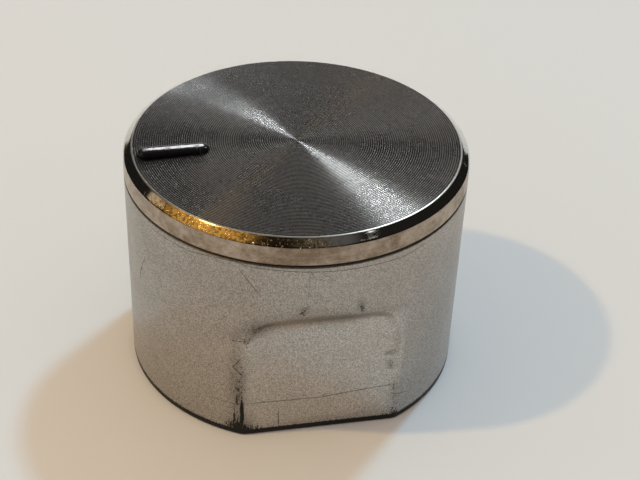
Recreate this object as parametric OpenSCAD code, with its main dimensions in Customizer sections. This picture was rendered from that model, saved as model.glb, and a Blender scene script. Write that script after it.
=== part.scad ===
// Stove control knob: a silver moulded body with two arched thumb flats, a
// turned metal cap with a raised pointer, and a keyed hub for a D-shaped stem.
// The pointer lies towards +Y, the flats face +X and -X, and the open foot rim
// stands on Z = 0. All sizes are in millimetres.

/* [Body] */
// Diameter of the body at its shoulder, and of the cap above it
body_top_d = 43; // [41:0.5:50]
// Diameter of the body at its foot rim
body_foot_d = 41.9; // [40.5:0.1:44]
// Height of the shoulder that the cap sits over
shoulder_h = 26.95; // [25:0.05:32]
// Thickness of the body's outer wall
wall_t = 1.9; // [1.4:0.1:2.1]
// Thickness of the deck that closes the body's top
deck_t = 2.4; // [1.8:0.1:3]
// Leg of the sloped brace between the deck and the wall
brace_w = 2.5; // [1:0.1:4]
// Radius of the edge round the shoulder
shoulder_round = 0.2; // [0.1:0.05:0.8]
// Radius of the edge round the foot rim
foot_round = 0.3; // [0.1:0.05:0.8]

/* [Thumb flats] */
// Distance from the axis to each flat
flat_offset = 18.6; // [18.2:0.1:19.4]
// Height at which the flat starts to curve out to the body
flat_top_h = 15.5; // [8:0.1:18]
// Width of the level part of the flat
flat_w = 17; // [11:0.2:20]
// Radius of the flat's two upper corners
flat_corner_r = 2.5; // [2:0.1:5]
// Radius of the hollow curve at the top of the flat
scoop_r = 3.4; // [2.4:0.1:4]
// Radius of the rounded lip where the hollow meets the body
lip_r = 2.8; // [2:0.1:3]
// Steepest slope between the hollow and the lip, in degrees
flank_a = 52; // [40:1:60]

/* [Ribs and hub tube] */
// Number of ribs between the hub tube and the wall
rib_count = 6; // [6:2:10]
// Thickness of each rib
rib_t = 1.3; // [0.8:0.1:2]
// Height of a rib's lower edge where it meets the wall
rib_wall_h = 5; // [3:0.5:12]
// Height of a rib's lower edge where it meets the hub tube
rib_tube_h = 10; // [9.5:0.5:16]
// Wall of the hub tube
tube_wall = 1.8; // [1.5:0.1:2.2]
// Height of the hub tube's lower end
tube_foot_h = 9; // [8:0.1:9.4]

/* [Cap] */
// Height of the cap
cap_h = 3.4; // [2.8:0.1:4.5]
// Thickness of the cap's face plate
plate_t = 1.6; // [1.2:0.1:2]
// Thickness of the cap's skirt
skirt_t = 1.3; // [1.2:0.1:1.6]
// Width of the polished chamfer, measured along the face
chamfer_w = 1; // [0.4:0.1:1.3]
// Height of the polished chamfer
chamfer_h = 0.9; // [0.4:0.1:1.4]
// Rise of the face's middle above its edge
face_crown = 0.3; // [0.1:0.05:0.5]
// Gap between the skirt and the body's shoulder
cap_gap = 0.25; // [0.1:0.05:0.5]
// Clearance between the skirt and the seat inside it
cap_clear = 0.1; // [0.05:0.05:0.2]
// Thickness of the adhesive disc under the face plate
adhesive_t = 0.15; // [0.1:0.05:0.3]
// Distance from the seat's edge to the adhesive disc
adhesive_margin = 0.9; // [0.5:0.1:2]

/* [Pointer] */
// Length of the pointer
bar_len = 8.9; // [6:0.1:11]
// Width of the pointer
bar_w = 1.9; // [1.4:0.1:2.6]
// Height that the pointer stands above the cap's face
bar_rise = 0.7; // [0.3:0.1:1.2]
// Distance from the face's edge to the pointer's outer end
bar_inset = 0.65; // [0.5:0.05:1.5]
// Radius along the pointer's upper edges
bar_round = 0.45; // [0.1:0.05:0.6]
// Clearance round the pointer in the cap's slot
bar_clear = 0.06; // [0.04:0.02:0.15]
// Depth of the notch that holds the pointer's foot
foot_seat = 0.8; // [0.5:0.1:1]
// Width of the foot's ledge beside the pointer
foot_ledge = 0.7; // [0.4:0.1:1]

/* [Stem hub] */
// Outer diameter of the hub inside its tube
hub_d = 14; // [13:0.1:15]
// Clearance between the hub and its tube
hub_clear = 0.06; // [0.04:0.02:0.12]
// Height of the hub's mouth above the foot rim
hub_mouth_h = 1.2; // [0.8:0.1:2]
// Thickness of the hub's flange, which stops against the tube
flange_t = 1.4; // [1:0.1:2]
// Width of the keys that stop the hub from turning
key_w = 2; // [1.4:0.1:3]
// Height of the keys above the hub
key_rise = 0.8; // [0.5:0.1:1]
// Diameter of the hub's split collar
collar_d = 12.4; // [12:0.1:12.8]
// Width of the slits in the collar
slit_w = 0.9; // [0.6:0.1:1.2]
// Number of slits in the collar
slit_count = 4; // [2:2:4]
// Diameter of the round lead-in for the stem
lead_d = 8.6; // [8.4:0.1:9]
// Leg of the chamfer at the lead-in's mouth
lead_chamfer = 0.6; // [0.3:0.1:0.9]
// Diameter of the D-shaped stem socket
socket_d = 8.1; // [7.6:0.05:8.2]
// Distance from the axis to the socket's flat
socket_flat = 2.55; // [2.4:0.05:2.9]
// Depth of the stem socket, from the hub's mouth
socket_depth = 21; // [18:0.5:22.5]

/* [Springs] */
// Thickness of the ring that closes the split collar
ring_t = 0.8; // [0.5:0.1:1]
// Height of the ring
ring_h = 3.6; // [2:0.1:4]
// Depth of the groove that holds the ring
groove_depth = 0.3; // [0.2:0.05:0.5]
// Width of the gap in the ring
ring_gap = 1.2; // [0.6:0.1:3]
// Thickness of the leaf spring against the stem's flat
leaf_t = 0.4; // [0.3:0.05:0.5]
// Width of the leaf spring
leaf_w = 5.2; // [3:0.1:5.6]
// Depth of the pocket behind the leaf spring
leaf_pocket = 0.9; // [0.8:0.05:1.2]
// Distance that the leaf spring bows in past the socket's flat
leaf_bow = 0.2; // [0.1:0.05:0.4]

/* [Hidden] */
$fn = 96;
arc_steps = 6;  // straight steps in each arc of an outline
fit = 0.03;     // clearance between pieces pushed together
spill = 1;      // how far a cut runs past the solid
bite = 0.4;     // how far a web runs into the wall it grows from

body_r = body_top_d / 2;
foot_r = body_foot_d / 2;
face_r = body_r - chamfer_w;
skirt_inner_r = body_r - skirt_t;
seat_r = skirt_inner_r - cap_clear;
skirt_foot_z = shoulder_h + cap_gap;
cap_top_z = skirt_foot_z + cap_h;
plate_z = cap_top_z - plate_t;
seat_z = plate_z - adhesive_t;
deck_z = seat_z - deck_t;
notch_z = seat_z - foot_seat;

bar_outer_y = face_r - bar_inset;
bar_inner_y = bar_outer_y - bar_len;
foot_inner_y = bar_inner_y - foot_ledge;
foot_w = bar_w + 2 * foot_ledge;

hub_r = hub_d / 2;
collar_r = collar_d / 2;
tube_inner_r = hub_r + hub_clear;
tube_r = tube_inner_r + tube_wall;
hub_top_z = deck_z - 0.3;
flange_z = tube_foot_h - flange_t;
flange_r = tube_r - 0.2;
lead_end_z = tube_foot_h;
socket_end_z = hub_mouth_h + socket_depth;
groove_r = collar_r - groove_depth;
ring_z = (hub_mouth_h + flange_z - ring_h) / 2;
slit_top_z = flange_z - 0.4;
slit_step = 360 / slit_count;
rib_step = 360 / rib_count;

leaf_low_z = lead_end_z + 1;
leaf_high_z = socket_end_z - 0.6;
leaf_floor_y = socket_flat + leaf_pocket;

// Radius of the body's surface at height z
function body_r_at(z) = foot_r + (body_r - foot_r) * z / shoulder_h;

// Points of an arc of radius r about c, from angle a0 to a1
function arc(c, r, a0, a1) =
    [for (i = [0:arc_steps]) let (a = a0 + (a1 - a0) * i / arc_steps)
        c + r * [cos(a), sin(a)]];

// The S that climbs from the flat at [0, 0] out to the body, as [run, depth]:
// a hollow, a straight flank where the depth leaves room for one, and a lip
function s_curve(scoop, lip, depth) =
    let (
        turn = min(flank_a, acos(1 - depth / (scoop + lip))),
        flank = (depth - (scoop + lip) * (1 - cos(turn))) / sin(turn),
        run = (scoop + lip) * sin(turn) + flank * cos(turn),
        crest = arc([run, depth - lip], lip, 90 + turn, 90)
    )
    concat(
        arc([0, scoop], scoop, -90, turn - 90),
        [for (i = [flank > 0.01 ? 0 : 1:arc_steps]) crest[i]]
    );

// Section of the thumb cut: the level floor from 0 to floor_w, and the space
// outside the S that climbs from its end
module lip_section(scoop, lip, depth, floor_w) {
    curve = s_curve(scoop, lip, depth);
    end_x = floor_w + curve[len(curve) - 1][0];
    top_y = depth + 3 * spill;
    polygon(concat(
        [[0, 0]],
        [for (p = curve) [floor_w + p[0], p[1]]],
        [[end_x, top_y], [0, top_y]]
    ));
}

// Cut for one thumb flat, with the S swept along its legs and round its arch.
// Its floor lies in Z = 0 and faces +Z, and its legs run down along -Y.
module arch_cut(scoop, lip, depth) {
    corner_x = flat_w / 2 - flat_corner_r;
    corner_y = flat_top_h - flat_corner_r;
    for (side = [0, 1])
        translate([(1 - 2 * side) * corner_x, corner_y, 0])
            rotate([0, 0, 90 * side])
                rotate_extrude(angle = 90)
                    lip_section(scoop, lip, depth, flat_corner_r);
    translate([-corner_x, corner_y, 0])
        rotate([90, 0, 90])
            linear_extrude(2 * corner_x)
                lip_section(scoop, lip, depth, flat_corner_r);
    translate([0, corner_y, 0])
        rotate([90, 0, 0])
            linear_extrude(corner_y + spill)
                for (side = [0, 1])
                    mirror([side, 0])
                        lip_section(scoop, lip, depth, flat_w / 2);
}

// Takes both thumb flats off its children, moved inwards by inset
module thumbed(inset) {
    lip_z = flat_top_h + scoop_r + lip_r;
    depth = body_r_at(lip_z) - flat_offset + 0.05;
    difference() {
        children();
        for (side = [0, 1])
            mirror([side, 0, 0])
                translate([flat_offset - inset, 0, 0])
                    rotate([90, 0, 90])
                        arch_cut(scoop_r + inset, max(lip_r - inset, 0.1), depth);
    }
}

// Stadium outline along Y, from y0 to y1
module stadium(y0, y1, w) {
    translate([-w / 2, y0 + w / 2])
        square([w, y1 - y0 - w]);
    for (y = [y0 + w / 2, y1 - w / 2])
        translate([0, y])
            circle(d = w);
}

// Solid blank of the body, with its foot and shoulder edges rounded
module body_blank() {
    rotate_extrude()
        polygon(concat(
            [[0, 0]],
            arc([foot_r - foot_round, foot_round], foot_round, -90, 0),
            arc([body_r - shoulder_round, shoulder_h - shoulder_round],
                shoulder_round, 0, 90),
            [[0, shoulder_h]]
        ));
}

// Space inside the wall and under the deck
module cavity_blank() {
    brace_z = deck_z - brace_w;
    wall_r = body_r_at(brace_z) - wall_t;
    rotate_extrude()
        polygon([[0, -spill], [body_r_at(-spill) - wall_t, -spill], [wall_r, brace_z],
            [wall_r - brace_w, deck_z], [0, deck_z]]);
}

// Webs between the hub tube and the wall, lower at the wall
module ribs() {
    inner_r = tube_r - bite;
    outer_r = body_r - wall_t + bite;
    top_z = deck_z + bite;
    for (i = [0:rib_count - 1])
        rotate([90, 0, (i + 0.5) * rib_step])
            translate([0, 0, -rib_t / 2])
                linear_extrude(rib_t)
                    polygon([[inner_r, rib_tube_h], [outer_r, rib_wall_h],
                        [outer_r, top_z], [inner_r, top_z]]);
}

// Two keyways or keys on the X axis, from radius 0 out to reach
module key_pair(reach, width, low_z, high_z) {
    translate([-reach, -width / 2, low_z])
        cube([2 * reach, width, high_z - low_z]);
}

module knob_shell() {
    color("#9c968e")
        difference() {
            union() {
                difference() {
                    thumbed(0) body_blank();
                    thumbed(wall_t) cavity_blank();
                }
                translate([0, 0, deck_z])
                    cylinder(h = seat_z - deck_z, r = seat_r);
                translate([0, 0, tube_foot_h])
                    cylinder(h = deck_z + bite - tube_foot_h, r = tube_r);
                thumbed(wall_t - bite)
                    intersection() {
                        ribs();
                        cylinder(h = shoulder_h, r1 = foot_r - wall_t + bite,
                            r2 = body_r - wall_t + bite);
                    }
            }
            translate([0, 0, tube_foot_h - spill])
                cylinder(h = deck_z - tube_foot_h + spill, r = tube_inner_r);
            key_pair(hub_r + key_rise + hub_clear, key_w + 2 * hub_clear,
                tube_foot_h - spill, deck_z);
            translate([0, 0, notch_z])
                linear_extrude(seat_z - notch_z + spill)
                    stadium(foot_inner_y - bar_clear, seat_r + foot_w,
                        foot_w + 2 * bar_clear);
        }
}

module top_cap() {
    edge = 0.15;
    crown_r = (pow(face_r, 2) + pow(face_crown, 2)) / (2 * face_crown);
    crown_z = cap_top_z + face_crown - crown_r;
    color("#5c5a58")
        difference() {
            rotate_extrude()
                polygon(concat(
                    [[0, plate_z], [skirt_inner_r, plate_z],
                        [skirt_inner_r, skirt_foot_z + edge],
                        [skirt_inner_r + edge, skirt_foot_z],
                        [body_r - edge, skirt_foot_z],
                        [body_r, skirt_foot_z + edge],
                        [body_r, cap_top_z - chamfer_h]],
                    arc([0, crown_z], crown_r, acos(face_r / crown_r), 90)
                ));
            translate([0, 0, plate_z - spill])
                linear_extrude(plate_t + 2 * spill)
                    stadium(bar_inner_y - bar_clear, bar_outer_y + bar_clear,
                        bar_w + 2 * bar_clear);
        }
}

module cap_adhesive() {
    color("#d8d4c8")
        translate([0, 0, seat_z])
            linear_extrude(adhesive_t)
                difference() {
                    circle(r = seat_r - adhesive_margin);
                    stadium(foot_inner_y - adhesive_margin / 2, seat_r + foot_w,
                        foot_w + adhesive_margin);
                }
}

module pointer_bar() {
    half_w = bar_w / 2;
    top_z = cap_top_z + bar_rise;
    half_section = concat([[0, notch_z], [half_w, notch_z]],
        arc([half_w - bar_round, top_z - bar_round], bar_round, 0, 90), [[0, top_z]]);
    inner_y = bar_inner_y + half_w;
    outer_y = bar_outer_y - half_w;
    color("#141414") {
        translate([0, inner_y, 0])
            rotate([0, 0, 180])
                rotate_extrude(angle = 180)
                    polygon(half_section);
        translate([0, outer_y, 0])
            rotate_extrude(angle = 180)
                polygon(half_section);
        translate([0, outer_y, 0])
            rotate([90, 0, 0])
                linear_extrude(outer_y - inner_y)
                    for (side = [0, 1])
                        mirror([side, 0])
                            polygon(half_section);
        translate([0, 0, notch_z])
            linear_extrude(plate_z - notch_z)
                intersection() {
                    stadium(foot_inner_y, bar_outer_y + foot_ledge, foot_w);
                    circle(r = seat_r - fit);
                }
    }
}

module stem_hub() {
    color("#2b2a2a")
        difference() {
            union() {
                translate([0, 0, tube_foot_h])
                    cylinder(h = hub_top_z - tube_foot_h, r = hub_r);
                key_pair(hub_r + key_rise, key_w, tube_foot_h, hub_top_z);
                translate([0, 0, flange_z])
                    cylinder(h = flange_t, r = flange_r);
                translate([0, 0, hub_mouth_h])
                    cylinder(h = flange_z - hub_mouth_h, r = collar_r);
            }
            translate([0, 0, ring_z - fit])
                difference() {
                    cylinder(h = ring_h + 2 * fit, r = collar_r + spill);
                    translate([0, 0, -spill])
                        cylinder(h = ring_h + 3 * spill, r = groove_r);
                }
            translate([0, 0, hub_mouth_h - spill])
                cylinder(h = lead_end_z - hub_mouth_h + spill, d = lead_d);
            translate([0, 0, hub_mouth_h - spill])
                cylinder(h = lead_chamfer + spill, r1 = lead_d / 2 + lead_chamfer + spill,
                    r2 = lead_d / 2);
            stem_socket();
            slits();
        }
}

// D-shaped socket for the stem, with the pocket behind its flat
module stem_socket() {
    translate([0, 0, lead_end_z - spill])
        intersection() {
            cylinder(h = socket_end_z - lead_end_z + spill, d = socket_d);
            translate([-socket_d, -socket_d, 0])
                cube([2 * socket_d, socket_d + socket_flat, 2 * socket_depth]);
        }
    translate([-leaf_w / 2 - 0.1, 0, leaf_low_z])
        cube([leaf_w + 0.2, leaf_floor_y, leaf_high_z - leaf_low_z]);
}

// Slits that split the collar into fingers
module slits() {
    for (i = [0:slit_count - 1])
        rotate([0, 0, (i + 0.5) * slit_step])
            translate([lead_d / 4, -slit_w / 2, hub_mouth_h - spill])
                cube([collar_r, slit_w, slit_top_z - hub_mouth_h + spill]);
}

module hub_spring_ring() {
    inner_r = groove_r + fit;
    color("#b9bcc0")
        translate([0, 0, ring_z])
            difference() {
                cylinder(h = ring_h, r = inner_r + ring_t);
                translate([0, 0, -spill])
                    cylinder(h = ring_h + 2 * spill, r = inner_r);
                translate([-ring_gap / 2, -collar_d, -spill])
                    cube([ring_gap, collar_d, ring_h + 2 * spill]);
            }
}

module stem_spring_clip() {
    back_y = socket_flat - leaf_bow + leaf_t;
    rise = leaf_floor_y - fit - back_y;
    half_chord = (leaf_high_z - leaf_low_z) / 2 - leaf_t;
    back_r = (half_chord * half_chord + rise * rise) / (2 * rise);
    half_turn = asin(half_chord / back_r);
    color("#c3c6ca")
        translate([0, back_y + back_r, (leaf_low_z + leaf_high_z) / 2])
            rotate([90, 0, 90])
                rotate([0, 0, 180 - half_turn])
                    rotate_extrude(angle = 2 * half_turn)
                        translate([back_r, -leaf_w / 2])
                            square([leaf_t, leaf_w]);
}

knob_shell();
top_cap();
cap_adhesive();
pointer_bar();
stem_hub();
hub_spring_ring();
stem_spring_clip();
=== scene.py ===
import bpy, bmesh, math
import numpy as np
from mathutils import Matrix, Vector


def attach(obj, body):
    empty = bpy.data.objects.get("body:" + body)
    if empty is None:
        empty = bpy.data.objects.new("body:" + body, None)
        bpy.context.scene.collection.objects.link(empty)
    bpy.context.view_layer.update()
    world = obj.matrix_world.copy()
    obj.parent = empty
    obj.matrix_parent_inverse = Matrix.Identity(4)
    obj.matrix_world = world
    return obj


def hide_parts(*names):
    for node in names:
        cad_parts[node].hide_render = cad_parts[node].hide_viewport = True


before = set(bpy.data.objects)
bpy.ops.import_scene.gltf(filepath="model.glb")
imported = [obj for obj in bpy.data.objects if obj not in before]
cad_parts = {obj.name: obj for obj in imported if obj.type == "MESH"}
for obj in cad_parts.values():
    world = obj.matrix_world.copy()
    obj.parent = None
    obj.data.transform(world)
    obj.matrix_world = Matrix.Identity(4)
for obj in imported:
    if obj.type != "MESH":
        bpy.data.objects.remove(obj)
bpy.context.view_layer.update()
mm = 0.001
print("frame loaded:", ", ".join(sorted(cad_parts)))



def direction(azimuth, elevation):
    a, e = math.radians(azimuth), math.radians(elevation)
    return Vector((math.cos(a) * math.cos(e), math.sin(a) * math.cos(e), math.sin(e)))


# ---- camera: sizes in mm, angles in degrees, +Y is the pointer's side of the knob

cameraSetup = {
    "lens": 100.125,
    "sensor": 36.0,
    "azimuth": 167.28,       # direction from the knob to the camera, from +X
    "elevation": 35.124,
    "distance": 238.303,
    "roll": 2.151,
    "aimRight": 3.308,
    "aimUp": 13.021,
}


def makeCamera(s):
    roll = math.radians(s["roll"])
    back = direction(s["azimuth"], s["elevation"])
    right = Vector((0, 0, 1)).cross(back).normalized()
    up = back.cross(right)
    place = back * s["distance"] + right * s["aimRight"] + up * s["aimUp"]
    c, d = math.cos(roll), math.sin(roll)
    right, up = right * c + up * d, up * c - right * d
    camera = bpy.data.objects.new("camera", bpy.data.cameras.new("camera"))
    bpy.context.scene.collection.objects.link(camera)
    camera.data.lens, camera.data.sensor_width = s["lens"], s["sensor"]
    camera.data.clip_start, camera.data.clip_end = 0.01, 20
    turn = Matrix((right, up, back)).transposed().to_4x4()
    camera.matrix_world = Matrix.Translation(place * mm) @ turn
    bpy.context.scene.camera = camera


makeCamera(cameraSetup)

# ---- small helpers for node trees and meshes


def setInput(tree, socket, value):
    if isinstance(value, bpy.types.NodeSocket):
        tree.links.new(value, socket)
    else:
        socket.default_value = value


def addNode(tree, kind, values=None, **settings):
    made = tree.nodes.new(kind)
    for key, value in settings.items():
        setattr(made, key, value)
    for key, value in (values or {}).items():
        setInput(tree, made.inputs[key], value)
    return made


def mathNode(tree, operation, *terms, clamp=False):
    values = {i: t for i, t in enumerate(terms)}
    return addNode(tree, "ShaderNodeMath", values, operation=operation, use_clamp=clamp).outputs[0]


def plus(tree, a, b):
    return mathNode(tree, "ADD", a, b)


def minus(tree, a, b):
    return mathNode(tree, "SUBTRACT", a, b)


def times(tree, a, b, clamp=False):
    return mathNode(tree, "MULTIPLY", a, b, clamp=clamp)


def timesPlus(tree, a, b, c, clamp=False):
    return mathNode(tree, "MULTIPLY_ADD", a, b, c, clamp=clamp)


def over(tree, a, b):
    return mathNode(tree, "DIVIDE", a, b)


def larger(tree, a, b, clamp=False):
    return mathNode(tree, "MAXIMUM", a, b, clamp=clamp)


def largest(tree, masks):
    total = masks[0]
    for mask in masks[1:]:
        total = larger(tree, total, mask)
    return total


def vectorMath(tree, operation, *terms, scale=None):
    values = {i: t for i, t in enumerate(terms)}
    if scale is not None:
        values["Scale"] = scale
    made = addNode(tree, "ShaderNodeVectorMath", values, operation=operation)
    return made.outputs["Value" if operation in ("LENGTH", "DOT_PRODUCT", "DISTANCE") else "Vector"]


def mapRange(tree, value, low, high, toLow=0.0, toHigh=1.0, smooth=True):
    kind = "SMOOTHSTEP" if smooth else "LINEAR"
    values = {"Value": value, "From Min": low, "From Max": high, "To Min": toLow, "To Max": toHigh}
    return addNode(tree, "ShaderNodeMapRange", values, interpolation_type=kind).outputs[0]


def noiseNode(tree, vector, scale, detail=2.0, roughness=0.5, distortion=0.0):
    values = {"Vector": vector, "Scale": scale, "Detail": detail, "Roughness": roughness}
    values["Distortion"] = distortion
    return addNode(tree, "ShaderNodeTexNoise", values, noise_dimensions="3D").outputs["Fac"]


def mixColour(tree, factor, a, b):
    made = addNode(tree, "ShaderNodeMix", data_type="RGBA")
    for index, value in ((0, factor), (6, a), (7, b)):
        setInput(tree, made.inputs[index], value)
    return made.outputs[2]


def mixValue(tree, factor, a, b):
    return addNode(tree, "ShaderNodeMix", {0: factor, 2: a, 3: b}, data_type="FLOAT").outputs[0]


def newMaterial(name, **constants):
    material = bpy.data.materials.new(name)
    material.use_nodes = True
    tree = material.node_tree
    shader = tree.nodes["Principled BSDF"]
    for key, value in constants.items():
        shader.inputs[key.replace("_", " ")].default_value = value
    place = addNode(tree, "ShaderNodeTexCoord").outputs["Object"]
    millimetres = vectorMath(tree, "SCALE", place, scale=1000.0)
    return material, tree, shader, millimetres


def feed(tree, shader, **sockets):
    for key, value in sockets.items():
        tree.links.new(value, shader.inputs[key.replace("_", " ")])


def bumpFrom(tree, height):
    values = {"Height": height, "Strength": 1.0, "Distance": mm}
    return addNode(tree, "ShaderNodeBump", values).outputs["Normal"]


def newTree(name, inputs, outputs, kind="ShaderNodeTree"):
    tree = bpy.data.node_groups.new(name, kind)
    for label, socket, value in inputs:
        made = tree.interface.new_socket(label, in_out="INPUT", socket_type="NodeSocket" + socket)
        if value is not None:
            made.default_value = value
    for label, socket in outputs:
        tree.interface.new_socket(label, in_out="OUTPUT", socket_type="NodeSocket" + socket)
    return tree, tree.nodes.new("NodeGroupInput").outputs, tree.nodes.new("NodeGroupOutput")


def useGroup(tree, group, values):
    made = tree.nodes.new("ShaderNodeGroup")
    made.node_tree = group
    for key, value in values.items():
        setInput(tree, made.inputs[key], value)
    return made.outputs


def meshFrom(name, points, faces):
    mesh = bpy.data.meshes.new(name)
    mesh.from_pydata([tuple(c * mm for c in p) for p in points], [], faces)
    mesh.validate()
    return mesh


def addPiece(mesh, name):
    piece = bpy.data.objects.new(name, mesh)
    bpy.context.scene.collection.objects.link(piece)
    return piece


def applied(piece):
    # bakes the modifiers into a plain mesh and takes them off
    graph = bpy.context.evaluated_depsgraph_get()
    mesh = bpy.data.meshes.new_from_object(piece.evaluated_get(graph))
    piece.modifiers.clear()
    piece.data = mesh
    mesh.name = piece.name
    return piece


def faceOutwards(mesh, weld=0.0):
    bm = bmesh.new()
    bm.from_mesh(mesh)
    if weld:
        bmesh.ops.remove_doubles(bm, verts=bm.verts, dist=weld * mm)
    bmesh.ops.recalc_face_normals(bm, faces=bm.faces)
    if bm.calc_volume(signed=True) < 0:
        bmesh.ops.reverse_faces(bm, faces=bm.faces)
    bm.to_mesh(mesh)
    bm.free()


def arcPoints(cx, cz, radius, start, end, steps):
    angles = [math.radians(start + (end - start) * i / steps) for i in range(steps + 1)]
    return [(cx + radius * math.cos(a), cz + radius * math.sin(a)) for a in angles]


# ---- effects that several materials share


def makeGrain():
    # fine sparkle of metal flakes or the tooth of moulded plastic
    group, put, out = newTree("fineGrain", [
        ("Vector", "Vector", None), ("Cells Per Mm", "Float", 6.0), ("Softness", "Float", 0.5)],
        [("Value", "Float"), ("Height", "Float")])
    cells = addNode(group, "ShaderNodeTexVoronoi", {"Vector": put["Vector"], "Scale": put["Cells Per Mm"]})
    sparkle = addNode(group, "ShaderNodeSeparateColor", {0: cells.outputs["Color"]}).outputs[0]
    soft = noiseNode(group, put["Vector"], put["Cells Per Mm"], 3.0, 0.6)
    group.links.new(mixValue(group, put["Softness"], sparkle, soft), out.inputs["Value"])
    group.links.new(soft, out.inputs["Height"])
    return group


def makeSmudges():
    # patchy film left by fingers, with clean and dull areas
    group, put, out = newTree("handledFilm", [
        ("Vector", "Vector", None), ("Scale", "Float", 0.2), ("Cover", "Float", 0.5),
        ("Edge", "Float", 0.15)],
        [("Mask", "Float"), ("Streak", "Float")])
    broad = noiseNode(group, put["Vector"], put["Scale"], 4.0, 0.62, 0.6)
    low = minus(group, 1.0, put["Cover"])
    low = minus(group, low, times(group, put["Edge"], 0.5))
    high = plus(group, low, put["Edge"])
    spread = mapRange(group, broad, 0.3, 0.7, smooth=False)
    group.links.new(mapRange(group, spread, low, high), out.inputs["Mask"])
    stretched = vectorMath(group, "MULTIPLY", put["Vector"], (1.0, 1.0, 5.0))
    group.links.new(noiseNode(group, stretched, times(group, put["Scale"], 3.0), 3.0, 0.7),
                    out.inputs["Streak"])
    return group


def makeHairlines():
    # thin stray scratches in two directions
    group, put, out = newTree("hairlines", [
        ("Vector", "Vector", None), ("Scale", "Float", 0.25), ("Width", "Float", 0.02),
        ("Amount", "Float", 0.4)],
        [("Mask", "Float")])
    masks = []
    for turn, shift in ((0.5, 0.0), (-0.9, 31.0), (1.9, 63.0)):
        place = addNode(group, "ShaderNodeMapping", {
            "Vector": put["Vector"], "Location": (shift, shift, -shift),
            "Rotation": (turn, turn * 0.6, turn * 1.3), "Scale": (1.0, 1.0, 0.12)}).outputs[0]
        field = noiseNode(group, place, put["Scale"], 1.0, 0.4, 0.3)
        line = mathNode(group, "ABSOLUTE", minus(group, field, 0.5))
        line = mapRange(group, line, 0.0, put["Width"], 1.0, 0.0)
        broken = noiseNode(group, place, times(group, put["Scale"], 1.7), 2.0)
        limit = minus(group, 1.0, put["Amount"])
        kept = mapRange(group, broken, limit, plus(group, limit, 0.08))
        masks.append(times(group, line, kept))
    group.links.new(largest(group, masks), out.inputs["Mask"])
    return group


def makeTurning():
    # rings left by the lathe tool round Z: each has an inward and an outward flank; the height is in mm
    group, put, out = newTree("turningRings", [
        ("Vector", "Vector", None), ("Pitch", "Float", 0.25), ("Outward Slope", "Float", 0.3),
        ("Inward Slope", "Float", 0.3), ("Inward Slope At Rim", "Float", 0.1), ("Unevenness", "Float", 0.5)],
        [("Height", "Float"), ("Ridge", "Float"), ("Tone", "Float"), ("Radius", "Float")])
    flat = vectorMath(group, "MULTIPLY", put["Vector"], (1.0, 1.0, 0.0))
    radius = vectorMath(group, "LENGTH", flat)
    along = addNode(group, "ShaderNodeCombineXYZ", {"X": radius}).outputs[0]
    uneven = noiseNode(group, along, over(group, 0.7, put["Pitch"]), 3.0, 0.75)
    turns = plus(group, over(group, radius, put["Pitch"]),
                 times(group, uneven, put["Unevenness"]))
    phase = mathNode(group, "FRACT", turns)
    inward = mapRange(group, radius, 2.0, 15.0, put["Inward Slope"], put["Inward Slope At Rim"],
                      smooth=False)
    rising = times(group, phase, inward)
    falling = times(group, minus(group, 1.0, phase), put["Outward Slope"])
    ridge = mathNode(group, "MINIMUM", rising, falling)
    group.links.new(times(group, ridge, put["Pitch"]), out.inputs["Height"])
    peak = over(group, times(group, inward, put["Outward Slope"]),
                plus(group, inward, put["Outward Slope"]))
    group.links.new(over(group, ridge, peak), out.inputs["Ridge"])
    group.links.new(noiseNode(group, along, 1.6, 4.0, 0.8), out.inputs["Tone"])
    group.links.new(radius, out.inputs["Radius"])
    return group


fineGrain, handledFilm, hairlines, turningRings = makeGrain(), makeSmudges(), makeHairlines(), makeTurning()


def grainOn(tree, place, cellsPerMm, softness):
    return useGroup(tree, fineGrain, {"Vector": place, "Cells Per Mm": cellsPerMm, "Softness": softness})


def filmOn(tree, place, scale, cover, edge):
    return useGroup(tree, handledFilm, {"Vector": place, "Scale": scale, "Cover": cover, "Edge": edge})


def hairlinesOn(tree, place, scale):
    return useGroup(tree, hairlines, {"Vector": place, "Scale": scale, "Width": 0.02, "Amount": 0.4})


# ---- silver paint over black plastic

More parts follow.
